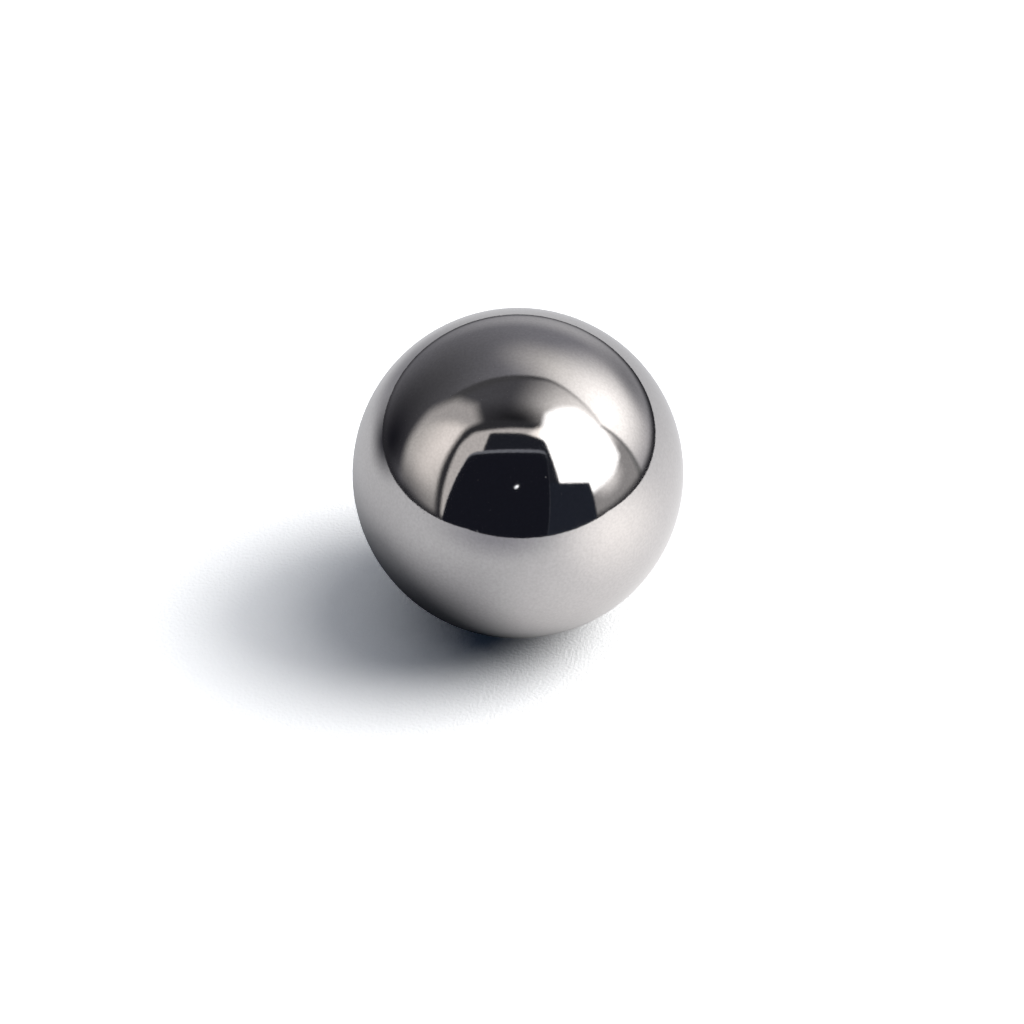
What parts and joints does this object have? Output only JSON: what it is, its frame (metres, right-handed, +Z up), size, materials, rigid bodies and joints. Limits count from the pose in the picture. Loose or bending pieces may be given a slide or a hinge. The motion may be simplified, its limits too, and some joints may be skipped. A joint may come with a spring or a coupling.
{
  "type": "steel ball",
  "caption": "Solid polished steel ball, a plain sphere with a bright finish, for bearings, ball tracks, weights and bench use.",
  "frame": {"origin": "the centre of the ball", "axes": "+Z up as the ball sits in a holder, +X to the right and -Y towards the viewer; every line through the origin is an axis of symmetry"},
  "size_m": [0.0254, 0.0254, 0.0254],
  "materials": {
    "polished_steel": "polished"
  },
  "bodies": {
    "root": {"ball": "polished_steel"}
  },
  "joints": []
}
